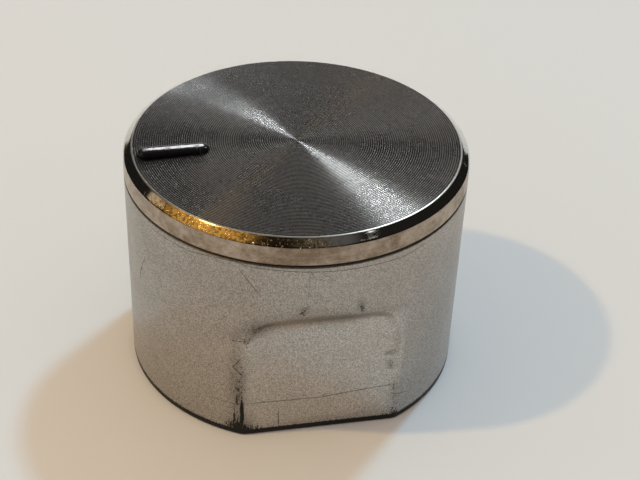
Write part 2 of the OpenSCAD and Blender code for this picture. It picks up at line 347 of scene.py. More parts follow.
paintLook = {
    "silver": (0.60, 0.56, 0.52, 1.0),
    "silverDark": (0.20, 0.186, 0.170, 1.0),
    "plastic": (0.004, 0.004, 0.004, 1.0),
    "shadeAndDirt": (0.07, 0.062, 0.045, 1.0),
    "metallic": 0.92,
    "roughness": 0.35,
    "bareRoughness": 0.5,
    "filmTint": (0.36, 0.31, 0.25, 1.0),
    "filmAmount": 0.10,
    "shadeAndDirtAmount": 0.8,
    "grainPerMm": 9.5,
    "grainGloss": 0.10,
    # heights in mm: the paint's edge, its grain and its ripple
    "paintThickness": 0.018,
    "grainHeight": 0.006,
    "rippleHeight": 0.012,
    "speckScale": 3.6,
    "streakScale": 5.0,
    "wearBreakup": 1.7,
    "dotScale": 0.42,        # loose specks of bare plastic all over
    "dotRadius": (0.03, 0.055),
    "wallRadius": 21.2,      # turns an angle into a length on the wall
    "rimHeight": 0.8,
    "rimBlend": 0.35,
    "shoulderBareShade": (26.85, 26.93),
    "shoulderDirtAndShade": (26.76, 26.90),
    # one mark: centre, turn, length, width, boxed, core, rim, strength
    "recess": ((0.0, 8.0), 0.0, 21.5, 18.5, 1.0, 0.9, 1.05, 1.0),
    "recessPaintedLight": (1.19, 1.23, 1.28),      # painted light: the thumb flat is made lighter and cooler than the wall
    "archEndHighlight": ((-7.4, 17.2), -0.1, 6.0, 2.4, 0.0, 0.1, 1.3, 0.25),   # painted highlight: the arch's end is made lighter in colour
    # clouds of worn specks: angle from the flat's middle, height, length, width, turn, strength
    "specks": [
        (22.0, 17.2, 6.5, 2.4, 153, 0.56), (26.6, 15.0, 4.0, 2.0, 100, 0.50),
        (28.6, 8.5, 13.0, 2.4, 90, 0.42), (8.4, 20.3, 3.8, 1.7, 125, 0.50),
        (-11.2, 20.0, 3.2, 1.0, 78, 0.54), (-24.8, 10.9, 1.6, 0.7, 165, 0.42),
        (-25.2, 9.0, 1.6, 1.2, 60, 0.44), (-26.6, 4.5, 7.0, 0.9, 90, 0.44), (-26.4, 13.4, 3.2, 0.5, 90, 0.42),
        (-27.0, 1.6, 3.0, 2.0, 90, 0.48), (-1.0, 18.3, 16.0, 1.6, 2, 0.30), (33.0, 1.8, 8.0, 3.0, 0, 0.34),
    ],
    # worn streaks that run up and down, same order of numbers
    "streaks": [
        (28.0, 3.2, 9.0, 0.85, 90, 1.0), (29.2, 6.0, 14.0, 2.6, 90, 0.47), (30.7, 2.2, 6.5, 0.5, 90, 0.80),
        (29.3, 1.0, 5.4, 4.4, 90, 0.84), (28.4, 0.9, 3.6, 9.0, 90, 0.68), (-27.4, 0.9, 2.4, 2.6, 90, 0.72),
        (-24.0, 0.7, 1.6, 2.2, 90, 0.60), (15.8, 2.0, 3.6, 0.35, 90, 0.62), (3.0, 0.9, 1.6, 22.0, 90, 0.36),
    ],
    # darker patches without wear, same order of numbers: the first two, along the top of the thumb flat's
    # arch, are painted shade; the others darken the wall round the worn marks and near the foot
    "haze areas": [
        (-1.0, 18.4, 21.0, 4.8, 2, 0.60), (-2.0, 18.2, 15.0, 2.6, 2, 0.90),
        (22.6, 17.1, 9.5, 4.2, 153, 0.70), (29.4, 8.0, 17.0, 3.4, 90, 0.50),
        (28.6, 1.5, 8.0, 4.6, 90, 0.60), (-24.8, 10.9, 2.2, 1.0, 165, 0.70),
        (-25.2, 9.0, 2.4, 1.6, 60, 0.55), (-27.0, 4.0, 8.0, 2.4, 90, 0.45),
        (8.4, 20.2, 3.6, 2.2, 120, 0.50), (-11.0, 20.2, 3.4, 1.5, 80, 0.55),
        (0.0, 0.9, 22.0, 2.6, 0, 0.35), (-26.4, 12.0, 8.0, 1.2, 90, 0.30),
    ],
    # scratches as lines of points (angle, height), then width and strength
    "scratches": [
        ([(39.0, 4.88), (33.0, 4.91), (26.4, 5.06)], 0.09, 0.45),
        ([(26.4, 5.06), (0.2, 4.92), (-26.3, 5.75)], 0.11, 0.9), ([(-27.1, 4.16), (-32.4, 3.6)], 0.10, 0.8),
        ([(28.5, 25.77), (22.7, 22.86)], 0.10, 0.85), ([(28.6, 12.2), (31.0, 10.8), (27.7, 9.6)], 0.13, 1.0),
        ([(31.3, 14.97), (25.7, 15.05)], 0.11, 0.9), ([(15.8, 3.42), (15.7, 0.6)], 0.10, 0.75),
        ([(70.2, 20.16), (72.3, 18.77), (74.1, 17.28), (74.8, 16.21)], 0.13, 1.0),
        ([(6.6, 26.9), (6.7, 22.53)], 0.09, 0.3), ([(6.1, 26.23), (4.5, 25.2)], 0.09, 0.6),
        ([(63.9, 26.2), (46.7, 26.2), (38.1, 26.67), (30.2, 26.85), (25.7, 26.52), (15.6, 26.48),
          (2.9, 26.32), (-5.9, 26.21), (-13.6, 26.16), (-24.3, 25.93), (-34.0, 26.2)], 0.10, 0.8),
    ],
}


def makeStamp():
    # X and Y are the place on the unrolled wall; Z carries the strongest mark so far
    group, given, result = newTree("stampedMark", [
        ("Vector", "Vector", None), ("Centre", "Vector", None), ("Turn", "Vector", None),
        ("Reach", "Vector", None), ("Boxed", "Float", 0.0), ("Core", "Float", 0.1), ("Rim", "Float", 1.2),
        ("Strength", "Float", 1.0)],
        [("Vector", "Vector")])
    place = vectorMath(group, "SUBTRACT", given["Vector"], given["Centre"])
    place = addNode(group, "ShaderNodeMapping", {"Vector": place, "Rotation": given["Turn"]}).outputs[0]
    place = vectorMath(group, "MULTIPLY", place, given["Reach"])
    parts = addNode(group, "ShaderNodeSeparateXYZ", {0: vectorMath(group, "ABSOLUTE", place)}).outputs
    distance = mixValue(group, given["Boxed"], vectorMath(group, "LENGTH", place),
                        larger(group, parts[0], parts[1]))
    mask = mapRange(group, distance, given["Core"], given["Rim"], given["Strength"], 0.0)
    carried = addNode(group, "ShaderNodeSeparateXYZ", {0: given["Vector"]}).outputs
    strongest = larger(group, carried[2], mask)
    stamped = addNode(group, "ShaderNodeCombineXYZ", {0: carried[0], 1: carried[1], 2: strongest})
    group.links.new(stamped.outputs[0], result.inputs["Vector"])
    return group


stampedMark = makeStamp()


def stampAll(tree, unrolled, marks):
    # marks: centre (two lengths), turn in radians, length, width, boxed, core, rim, strength
    carried = unrolled
    for centre, turn, length, width, boxed, core, rim, strength in marks:
        carried = useGroup(tree, stampedMark, {
            "Vector": carried, "Centre": (centre[0], centre[1], 0.0), "Turn": (0.0, 0.0, -turn),
            "Reach": (2.0 / length, 2.0 / width, 0.0), "Boxed": boxed, "Core": core, "Rim": rim,
            "Strength": strength})["Vector"]
    return addNode(tree, "ShaderNodeSeparateXYZ", {0: carried}).outputs[2]


def softMarks(tree, unrolled, s, kind):
    marks = []
    for angle, height, length, width, turn, strength in s[kind]:
        centre = (math.radians(angle) * s["wallRadius"], height)
        marks.append((centre, math.radians(turn), length, width, 0.0, 0.1, 1.2, strength))
    return stampAll(tree, unrolled, marks)


def scratchLines(tree, unrolled, s):
    marks = []
    for points, width, strength in s["scratches"]:
        for (a0, z0), (a1, z1) in zip(points, points[1:]):
            x0, x1 = math.radians(a0) * s["wallRadius"], math.radians(a1) * s["wallRadius"]
            length = math.hypot(x1 - x0, z1 - z0) + width
            turn = math.atan2(z1 - z0, x1 - x0)
            marks.append((((x0 + x1) / 2, (z0 + z1) / 2), turn, length, width, 1.0, 0.6, 1.4, strength))
    return stampAll(tree, unrolled, marks)


def makeSilverPaint(s):
    material, tree, shader, place = newMaterial("silverPaint", Specular_IOR_Level=0.3)
    axes = addNode(tree, "ShaderNodeSeparateXYZ", {0: place}).outputs
    angle = mathNode(tree, "ARCTAN2", axes[1], times(tree, axes[0], -1.0))
    along = times(tree, angle, s["wallRadius"])
    unrolled = addNode(tree, "ShaderNodeCombineXYZ", {0: along, 1: axes[2], 2: 0.0}).outputs[0]

    # worn specks and streaks: soft areas broken up by fine noise
    speckNoise = noiseNode(tree, place, s["speckScale"], 3.0, 0.75)
    upright = vectorMath(tree, "MULTIPLY", place, (1.0, 1.0, 0.25))
    streakNoise = noiseNode(tree, upright, s["streakScale"], 3.0, 0.8)
    specks = softMarks(tree, unrolled, s, "specks")
    streaks = softMarks(tree, unrolled, s, "streaks")
    rim = mapRange(tree, axes[2], s["rimHeight"] - s["rimBlend"], s["rimHeight"] + s["rimBlend"], 1.6, 0.0,
                   smooth=False)
    edge = addNode(tree, "ShaderNodeAttribute", attribute_name="flatEdge").outputs["Fac"]
    lowEdge = times(tree, edge, mapRange(tree, axes[2], 0.0, 12.0, 0.36, 0.15))
    streaks = largest(tree, [streaks, rim, lowEdge])
    broken = [plus(tree, field, times(tree, minus(tree, noise, 0.5), s["wearBreakup"]))
              for field, noise in ((specks, speckNoise), (streaks, streakNoise))]
    worn = mapRange(tree, largest(tree, broken), 0.5, 0.62)
    marked = mathNode(tree, "GREATER_THAN", larger(tree, specks, streaks), 0.02)
    worn = times(tree, worn, marked)

    # loose specks everywhere and the thin scratches
    dots = addNode(tree, "ShaderNodeTexVoronoi", {"Vector": place, "Scale": s["dotScale"]})
    chance = addNode(tree, "ShaderNodeSeparateColor", {0: dots.outputs["Color"]}).outputs[0]
    dot = times(tree, mapRange(tree, dots.outputs["Distance"], *s["dotRadius"], 0.7, 0.0),
                mathNode(tree, "GREATER_THAN", chance, 0.86))
    scratched = scratchLines(tree, unrolled, s)
    scratched = times(tree, scratched, mapRange(tree, speckNoise, 0.36, 0.56, 0.5, 1.0))

    cover = addNode(tree, "ShaderNodeAttribute", attribute_name="paintCover").outputs["Fac"]
    mist = noiseNode(tree, place, 2.6, 3.0, 0.7)
    covered = mapRange(tree, plus(tree, cover, times(tree, mist, 0.35)), 0.35, 1.15)
    bare = larger(tree, minus(tree, 1.0, covered), worn, clamp=True)
    # painted shade: the shoulder's top edge below the cap is made bare black plastic
    bareShoulderShade = mapRange(tree, axes[2], *s["shoulderBareShade"], 0.0, 0.6)
    bare = largest(tree, [bare, dot, scratched, bareShoulderShade])

    # grain, broad unevenness, handling film, and darkening that is partly dirt and partly painted shade
    grain = grainOn(tree, place, s["grainPerMm"], 0.15)
    broad = noiseNode(tree, place, 0.09, 3.0, 0.55)
    tone = plus(tree, minus(tree, grain["Value"], 0.5), 0.52)
    tone = plus(tree, tone, times(tree, minus(tree, broad, 0.5), 0.3))
    silver = mixColour(tree, times(tree, tone, 1.0, clamp=True), s["silverDark"], s["silver"])
    film = filmOn(tree, place, 0.11, 0.4, 0.35)
    silver = mixColour(tree, times(tree, film["Mask"], s["filmAmount"]), silver, s["filmTint"])
    # painted shade, partly dirt: a dark band on the shoulder at the joint below the cap
    shoulderDirtAndShade = mapRange(tree, axes[2], *s["shoulderDirtAndShade"], 0.0, 0.6)
    shadeAndDirt = larger(tree, softMarks(tree, unrolled, s, "haze areas"), shoulderDirtAndShade)
    shadeAndDirt = times(tree, shadeAndDirt, mapRange(tree, speckNoise, 0.3, 0.7, 0.55, 1.25, smooth=False))
    recess = stampAll(tree, unrolled, [s["recess"]])
    archEndHighlight = stampAll(tree, unrolled, [s["archEndHighlight"]])
    # painted light: the thumb flats are made lighter and cooler in colour
    silver = mixColour(tree, recess, silver, vectorMath(tree, "MULTIPLY", silver, s["recessPaintedLight"]))
    # painted highlight: the silver is brightened at the arch's end
    silver = vectorMath(tree, "SCALE", silver, scale=plus(tree, archEndHighlight, 1.0))
    # mixes in the darkening: painted shade along the arch's top and below the cap, darker patches round the
    # wear elsewhere
    silver = mixColour(tree, times(tree, shadeAndDirt, s["shadeAndDirtAmount"], clamp=True), silver, s["shadeAndDirt"])
    colour = mixColour(tree, bare, silver, s["plastic"])
    gloss = timesPlus(tree, minus(tree, grain["Value"], 0.5), s["grainGloss"], s["roughness"])
    gloss = timesPlus(tree, film["Mask"], 0.05, gloss)
    height = times(tree, minus(tree, 1.0, bare), s["paintThickness"])
    height = timesPlus(tree, grain["Height"], s["grainHeight"], height)
    height = timesPlus(tree, noiseNode(tree, place, 0.8, 2.0), s["rippleHeight"], height)
    feed(tree, shader, Base_Color=colour, Metallic=mixValue(tree, bare, s["metallic"], 0.0),
         Roughness=mixValue(tree, bare, gloss, s["bareRoughness"]), Normal=bumpFrom(tree, height))
    return material


# ---- turned aluminium of the cap: face, polished chamfer and side band

capLook = {
    "face": (0.018, 0.017, 0.016, 1.0),
    "faceLight": (0.30, 0.287, 0.278, 1.0),
    "faceRoughness": 0.27,
    "filmTint": (0.30, 0.26, 0.21, 1.0),
    "lobeShade": (0.022, 0.020, 0.019, 1.0),
    # centre, turn, length, width, boxed, core, rim, strength
    "lobeShadePatch": ((13.6, 8.3), 0.55, 19.0, 11.0, 0.0, 0.25, 1.15, 0.8),
    "edge": (0.85, 0.83, 0.80, 1.0),
    "edgeRoughness": 0.28,
    "chamfer": (0.80, 0.77, 0.72, 1.0),
    "chamferFilm": (0.52, 0.45, 0.37, 1.0),
    "chamferRoughness": 0.07,
    "goldReflection": (0.95, 0.70, 0.33, 1.0),
    "goldReflectionAmount": 0.7,
    "chamferStain": (0.17, 0.10, 0.025, 1.0),
    "stainAmount": 0.75,
    "knockedSide": (-0.845, 0.534, 0.0),
    "knockedFrom": (17.0, 19.0),     # how far out along that side it begins and is full
    "nickDepth": 0.06,
    "band": (0.50, 0.415, 0.335, 1.0),
    "bandBrown": (0.17, 0.11, 0.065, 1.0),
    "bandRoughness": 0.26,
    "pitch": 0.277,
    "outwardSlope": 0.325,
    "inwardSlope": 0.325,
    "inwardSlopeAtRim": 0.40,
    "unevenness": 0.12,
}


def makeTurnedFace(s):
    material, tree, shader, place = newMaterial(
        "turnedFace", Metallic=1.0, Anisotropic=0.9, Anisotropic_Rotation=0.25)
    rings = useGroup(tree, turningRings, {
        "Vector": place, "Pitch": s["pitch"], "Outward Slope": s["outwardSlope"],
        "Inward Slope": s["inwardSlope"], "Inward Slope At Rim": s["inwardSlopeAtRim"],
        "Unevenness": s["unevenness"]})
    film = filmOn(tree, place, 0.14, 0.35, 0.4)
    flecks = grainOn(tree, place, 4.2, 0.2)
    shine = times(tree, mapRange(tree, rings["Ridge"], 0.35, 0.75),
                  mapRange(tree, flecks["Value"], 0.2, 0.8, 0.6, 1.1, smooth=False))
    shine = times(tree, shine, mapRange(tree, rings["Tone"], 0.3, 0.7, 0.75, 1.15, smooth=False))
    colour = mixColour(tree, shine, s["face"], s["faceLight"])
    colour = mixColour(tree, times(tree, film["Mask"], 0.10), colour, s["filmTint"])
    # painted shade: a dark patch on one side of the face dims the outer part of a reflection lobe
    patch = stampAll(tree, vectorMath(tree, "MULTIPLY", place, (1.0, 1.0, 0.0)), [s["lobeShadePatch"]])
    cloud = noiseNode(tree, place, 0.5, 4.0, 0.7)
    patch = times(tree, patch, mapRange(tree, cloud, 0.3, 0.6, 0.7, 1.1))
    colour = mixColour(tree, times(tree, patch, 1.0, clamp=True), colour, s["lobeShade"])
    rough = timesPlus(tree, film["Mask"], 0.03, s["faceRoughness"])
    turnAxis = addNode(tree, "ShaderNodeTangent", direction_type="RADIAL", axis="Z").outputs[0]
    feed(tree, shader, Base_Color=colour, Roughness=rough, Normal=bumpFrom(tree, rings["Height"]),
         Tangent=turnAxis)
    return material


def makeTurnedEdge(s):
    material, tree, shader, place = newMaterial("turnedEdge", Metallic=1.0)
    film = filmOn(tree, place, 0.6, 0.4, 0.3)
    colour = mixColour(tree, times(tree, film["Mask"], 0.4), s["edge"], s["band"])
    rough = timesPlus(tree, film["Mask"], 0.08, s["edgeRoughness"])
    height = times(tree, noiseNode(tree, place, 1.4, 2.0), 0.006)
    feed(tree, shader, Base_Color=colour, Roughness=rough, Normal=bumpFrom(tree, height))
    return material


def makePolishedChamfer(s):
    material, tree, shader, place = newMaterial("polishedChamfer", Metallic=1.0)
    film = filmOn(tree, place, 0.5, 0.35, 0.3)
    lines = hairlinesOn(tree, place, 0.6)
    # knocks and stains lie on one side, between the thumb flat and the pointer; the gold tint there is a
    # painted reflection
    side = mapRange(tree, vectorMath(tree, "DOT_PRODUCT", place, s["knockedSide"]), *s["knockedFrom"])
    stain = mapRange(tree, noiseNode(tree, place, 2.4, 4.0, 0.7), 0.44, 0.60)
    stain = times(tree, stain, side)
    nick = mapRange(tree, noiseNode(tree, place, 3.0, 3.0, 0.7), 0.60, 0.70)
    nick = times(tree, nick, side)
    colour = mixColour(tree, times(tree, film["Mask"], 0.25), s["chamfer"], s["chamferFilm"])
    # painted reflection: gold tint on that side of the chamfer
    colour = mixColour(tree, times(tree, side, s["goldReflectionAmount"]), colour, s["goldReflection"])
    colour = mixColour(tree, times(tree, stain, s["stainAmount"]), colour, s["chamferStain"])
    rough = timesPlus(tree, film["Mask"], 0.04, s["chamferRoughness"])
    rough = timesPlus(tree, lines["Mask"], 0.12, rough)
    rough = timesPlus(tree, stain, 0.07, rough)
    height = timesPlus(tree, lines["Mask"], -0.003, times(tree, nick, -s["nickDepth"]))
    feed(tree, shader, Base_Color=colour, Roughness=rough, Normal=bumpFrom(tree, height))
    return material


def makeCapBand(s):
    material, tree, shader, place = newMaterial("capBand", Metallic=1.0)
    film = filmOn(tree, place, 0.16, 0.52, 0.45)
    grain = grainOn(tree, place, 2.6, 0.7)
    stretched = vectorMath(tree, "MULTIPLY", place, (0.35, 0.35, 6.0))
    streak = noiseNode(tree, stretched, 1.0, 4.0, 0.7)
    mix = times(tree, film["Mask"], mapRange(tree, film["Streak"], 0.25, 0.75, 0.35, 1.0))
    mottle = mapRange(tree, noiseNode(tree, place, 0.9, 5.0, 0.75), 0.36, 0.64)
    mix = timesPlus(tree, mottle, 0.45, times(tree, mix, 0.7), clamp=True)
    # painted shade: the band is browned on its -X side, which faces the camera
    frontShade = mapRange(tree, vectorMath(tree, "DOT_PRODUCT", place, (-1.0, 0.0, 0.0)), 17.5, 20.8, 0.0, 0.25)
    mix = timesPlus(tree, frontShade, mapRange(tree, streak, 0.35, 0.65, 0.5, 1.2), mix, clamp=True)
    colour = mixColour(tree, times(tree, mix, 0.75), s["band"], s["bandBrown"])
    colour = mixColour(tree, times(tree, mapRange(tree, grain["Value"], 0.5, 0.8), 0.25),
                       colour, s["bandBrown"])
    rough = timesPlus(tree, mix, 0.16, s["bandRoughness"])
    rough = timesPlus(tree, minus(tree, streak, 0.5), 0.14, rough)
    height = timesPlus(tree, streak, 0.004, times(tree, grain["Height"], 0.005))
    feed(tree, shader, Base_Color=colour, Roughness=rough, Normal=bumpFrom(tree, height))
    return material


# ---- pointer, hub, springs and tape

trimLook = {
    "pointer": (0.006, 0.006, 0.007, 1.0),
    "pointerScratch": (0.09, 0.088, 0.085, 1.0),
    "pointerRoughness": 0.07,
    "hub": (0.022, 0.022, 0.023, 1.0),
    "hubDust": (0.075, 0.07, 0.062, 1.0),
    "hubRoughness": 0.42,
    "steel": (0.56, 0.57, 0.58, 1.0),
    "tarnish": (0.30, 0.26, 0.22, 1.0),
    "steelRoughness": 0.20,
    "tape": (0.82, 0.80, 0.74, 1.0),
    "tapeShade": (0.70, 0.66, 0.56, 1.0),
}


def makePointerBlack(s):
    material, tree, shader, place = newMaterial("pointerBlack")
    film = filmOn(tree, place, 0.5, 0.4, 0.3)
    lines = hairlinesOn(tree, place, 0.5)
    colour = mixColour(tree, times(tree, lines["Mask"], 0.3), s["pointer"], s["pointerScratch"])
    rough = timesPlus(tree, film["Mask"], 0.06, s["pointerRoughness"])
    rough = timesPlus(tree, lines["Mask"], 0.2, rough)
    height = times(tree, noiseNode(tree, place, 1.5, 2.0), 0.004)
    feed(tree, shader, Base_Color=colour, Roughness=rough, Normal=bumpFrom(tree, height))
    return material


def makeHubPlastic(s):
    material, tree, shader, place = newMaterial("hubPlastic")
    grain = grainOn(tree, place, 3.5, 0.8)
    film = filmOn(tree, place, 0.2, 0.35, 0.4)
    colour = mixColour(tree, times(tree, film["Mask"], 0.35), s["hub"], s["hubDust"])
    rough = timesPlus(tree, grain["Value"], 0.16, s["hubRoughness"])
    feed(tree, shader, Base_Color=colour, Roughness=rough,
         Normal=bumpFrom(tree, times(tree, grain["Height"], 0.010)))
    return material


def makeSpringSteel(s):
    material, tree, shader, place = newMaterial("springSteel", Metallic=1.0)
    rolled = noiseNode(tree, vectorMath(tree, "MULTIPLY", place, (0.6, 0.6, 14.0)), 1.0, 3.0, 0.7)
    film = filmOn(tree, place, 0.35, 0.4, 0.4)
    colour = mixColour(tree, times(tree, film["Mask"], 0.5), s["steel"], s["tarnish"])
    rough = timesPlus(tree, rolled, 0.18, s["steelRoughness"])
    feed(tree, shader, Base_Color=colour, Roughness=rough,
         Normal=bumpFrom(tree, times(tree, rolled, 0.004)))
    return material


def makeTape(s):
    material, tree, shader, place = newMaterial("adhesiveTape", Specular_IOR_Level=0.3)
    weave = noiseNode(tree, place, 1.2, 4.0, 0.6)
    colour = mixColour(tree, weave, s["tape"], s["tapeShade"])
    feed(tree, shader, Base_Color=colour, Roughness=mapRange(tree, weave, 0.3, 0.7, 0.6, 0.8),
         Normal=bumpFrom(tree, times(tree, weave, 0.02)))
    return material


silverPaint = makeSilverPaint(paintLook)
turnedFace, turnedEdge = makeTurnedFace(capLook), makeTurnedEdge(capLook)
polishedChamfer, capBand = makePolishedChamfer(capLook), makeCapBand(capLook)
pointerBlack, hubPlastic = makePointerBlack(trimLook), makeHubPlastic(trimLook)
springSteel, adhesiveTape = makeSpringSteel(trimLook), makeTape(trimLook)
print("materials made")

# ---- body shell: a turned blank whose wall is pulled in to the two thumb flats

shellSizes = {
    "footRadius": 20.95, "topRadius": 21.5, "height": 26.95, "wall": 1.9,
    "shoulderRound": 0.2, "footRound": 0.3,
    "flatOffset": 18.6, "flatWidth": 17.0, "flatTop": 15.5, "flatCorner": 2.5,
    "scoop": 3.4, "lip": 2.8, "flank": 52.0, "edgeBlend": 0.6,
    "seatRadius": 20.1, "seatHeight": 28.85, "deckHeight": 26.45, "brace": 2.5,
    "tubeRadius": 8.86, "tubeBore": 7.06, "tubeFoot": 9.0,
    "fineArc": 38.0, "fineStep": 0.46, "coarseSteps": 48,     # degrees round each flat, then the rest
}


def wallRadius(s, z):
    return s["footRadius"] + (s["topRadius"] - s["footRadius"]) * z / s["height"]


def lipRise(distance, scoop, lip, depth, flank):
    # the S from the flat out to the wall: a hollow, a straight flank and a rounded lip
    turn = min(math.radians(flank), math.acos(1 - depth / (scoop + lip)))
    straight = (depth - (scoop + lip) * (1 - math.cos(turn))) / math.sin(turn)
    split, lipReach = scoop * math.sin(turn), lip * math.sin(turn)
    run = split + straight * math.cos(turn) + lipReach
    hollow = scoop - np.sqrt(scoop ** 2 - np.clip(distance, 0, split) ** 2)
    middle = scoop * (1 - math.cos(turn)) + (distance - split) * math.tan(turn)
    crest = depth - lip + np.sqrt(lip ** 2 - np.clip(run - distance, 0, lipReach) ** 2)
    rise = np.where(distance <= split, hollow, np.where(distance < run - lipReach, middle, crest))
    return np.where(distance < run, rise, 99.0)


def pullIn(s, x, y, z, inset, drop):
    corner = s["flatCorner"]
    depth = wallRadius(s, s["flatTop"] + s["scoop"] + s["lip"]) - s["flatOffset"] + 0.05
    across = np.abs(y) - (s["flatWidth"] / 2 - corner)
    above = z - (s["flatTop"] - corner)
    distance = (np.hypot(np.maximum(across, 0), np.maximum(above, 0))
                + np.minimum(np.maximum(across, above), 0) - corner)
    cut = s["flatOffset"] - inset - drop + lipRise(
        distance, s["scoop"] + inset, max(s["lip"] - inset, 0.1), depth, s["flank"])
    near = np.maximum(s["edgeBlend"] - np.abs(np.abs(x) - cut), 0) / s["edgeBlend"]
    pulled = np.minimum(np.abs(x), cut) - near ** 2 * s["edgeBlend"] / 4
    return np.sign(x) * pulled, near


def shellRows(s):
    # rows from the middle of the deck's top, over the outside, to the middle of its underside;
    # a bare height or radius only spaces the rows
    def plain(points, paint=0.0):
        return [(r, z, "plain", 0, paint) for r, z in points]

    seat, tube, bore, footRadius, wall = (s[k] for k in (
        "seatRadius", "tubeRadius", "tubeBore", "footRadius", "wall"))
    height, deck, tubeFoot, foot = (s[k] for k in ("height", "deckHeight", "tubeFoot", "footRound"))
    rows = plain([(r, s["seatHeight"]) for r in (0, 5, 10, 15, 18.5, seat - 0.2)])
    rows += plain([(seat, z) for z in (s["seatHeight"] - 0.2, 28.0, 27.3)])
    rows += plain([(seat, height + 0.06)], 0.2) + plain([(seat + 0.06, height)], 0.3)
    rows += plain([(20.6, height)], 0.6) + plain([(21.0, height)], 1.0)
    edge = s["shoulderRound"]
    rows += plain(arcPoints(s["topRadius"] - edge, height - edge, edge, 90, 0, 6), 1.0)

    # the outside, with close rows where the flats curve out to the wall
    for z in np.concatenate([np.arange(26.2, 21.6, -0.75), np.arange(21.5, 11.4, -0.15),
                             np.arange(10.9, 0.5, -0.65), [0.42]]):
        rows.append((wallRadius(s, z), z, "outer", 0, 1.0))
    for r, z in arcPoints(0, foot, foot, 0, -90, 5):
        rows.append((footRadius - foot + r, z, "outer", foot - r, 1.0))
    inner = footRadius - wall
    rows += [(footRadius - 0.7, 0.0, "outer", 0.7, 0.8), (inner + 0.5, 0.0, "inner", -0.5, 0.6),
             (inner + 0.16, 0.0, "inner", -0.16, 0.5), (inner + 0.05, 0.05, "inner", -0.05, 0.45),
             (inner + 0.003, 0.16, "inner", 0, 0.4)]

    # the inside: wall, brace, deck and hub tube
    braceFoot = deck - s["brace"]
    for z in np.concatenate([[0.6, 1.3, 2.4, 4.0], np.arange(6, 11.5, 1.4), np.arange(11.5, 21.6, 0.42),
                             [22.6, 23.6, braceFoot - 0.1]]):
        rows.append((wallRadius(s, z) - wall, z, "inner", 0, max(0.0, 0.38 - 0.11 * z)))
    braceRadius = wallRadius(s, braceFoot) - wall
    rows += [(braceRadius - t, braceFoot + t, "brace", 0, 0.0) for t in (0.1, 0.8, 1.6, 2.4)]
    rows += plain([(r, deck) for r in (braceRadius - 2.6, 15.0, 12.0, tube + 0.35)])
    rows += plain([(tube + 0.08, deck - 0.08)])
    rows += plain([(tube, z) for z in (deck - 0.35, 22, 17, 12, tubeFoot + 0.2)])
    rows += plain([(tube - 0.05, tubeFoot + 0.05), (tube - 0.2, tubeFoot),
                   (bore + 0.2, tubeFoot), (bore, tubeFoot + 0.2)])
    rows += plain([(bore, z) for z in (15, 21, deck - 0.05)])
    rows += plain([(bore - 0.05, deck), (4, deck), (0, deck)])
    return rows


def makeBodyShell(s):
    arc = s["fineArc"]
    fine = np.arange(-arc, arc + 0.01, s["fineStep"])
    coarse = np.linspace(arc, 180 - arc, s["coarseSteps"])[1:-1]
    angles = np.radians(np.concatenate([fine, coarse, fine + 180, coarse + 180]))
    count = len(angles)
    points, edge, cover, starts = [], [], [], []
    for radius, z, kind, drop, paint in shellRows(s):
        if radius == 0:
            starts.append((len(points), 1))
            points.append((0.0, 0.0, z))
            edge.append(0.0)
            cover.append(paint)
            continue
        x, y = radius * np.cos(angles), radius * np.sin(angles)
        near = np.zeros(count)
        if kind == "outer":
            x, near = pullIn(s, x, y, z, 0.0, drop)
        elif kind == "inner":
            x = pullIn(s, x, y, z, s["wall"], drop)[0]
        starts.append((len(points), count))
        points += list(zip(x.tolist(), y.tolist(), [z] * count))
        edge += near.tolist()
        cover += [paint] * count
    faces = []
    for (a, na), (b, nb) in zip(starts, starts[1:]):
        for i in range(count):
            j = (i + 1) % count
            if na == 1:
                faces.append((a, b + i, b + j))
            elif nb == 1:
                faces.append((a + i, b, a + j))
            else:
                faces.append((a + i, b + i, b + j, a + j))
    mesh = meshFrom("bodyShell", points, faces)
    for label, values in (("flatEdge", edge), ("paintCover", cover)):
        mesh.attributes.new(label, "FLOAT", "POINT").data.foreach_set("value", values)
    faceOutwards(mesh)
    mesh.shade_smooth()
    mesh.materials.append(silverPaint)
    return addPiece(mesh, "bodyShell")


bodyShell = makeBodyShell(shellSizes)
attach(bodyShell, "root")
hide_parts("knob_shell")
print("body shell made:", len(bodyShell.data.polygons), "faces")

# ---- ribs between the hub tube and the wall

ribSizes = {
    "count": 6, "firstAngle": 30.0, "thickness": 1.3, "edgeRound": 0.22,
    "innerRadius": 8.6, "outerRadius": 19.75, "tubeEnd": 10.0, "wallEnd": 5.0, "top": 26.7,
    "draft": 0.86, "bevelAngle": 40.0,
}


def geometryTree(name, inputs):
    inputs = [("Geometry", "Geometry", None)] + inputs
    return newTree(name, inputs, [("Geometry", "Geometry")], "GeometryNodeTree")


def sendOut(tree, shape, put, out):
    shape = addNode(tree, "GeometryNodeRealizeInstances", {0: shape}).outputs[0]
    values = {"Geometry": shape, "Material": put["Material"]}
    tree.links.new(addNode(tree, "GeometryNodeSetMaterial", values).outputs[0], out.inputs[0])


def runTree(piece, tree, values):
    modifier = piece.modifiers.new(tree.name, "NODES")
    modifier.node_group = tree
    sockets = {i.name: i.identifier for i in tree.interface.items_tree if i.in_out == "INPUT"}
    for key, value in values.items():
        modifier[sockets[key]] = value
    return applied(piece)


def addBevel(piece, width, angle):
    soft = piece.modifiers.new("edges", "BEVEL")
    soft.width, soft.segments = width * mm, 2
    soft.limit_method, soft.angle_limit = "ANGLE", math.radians(angle)
    return soft


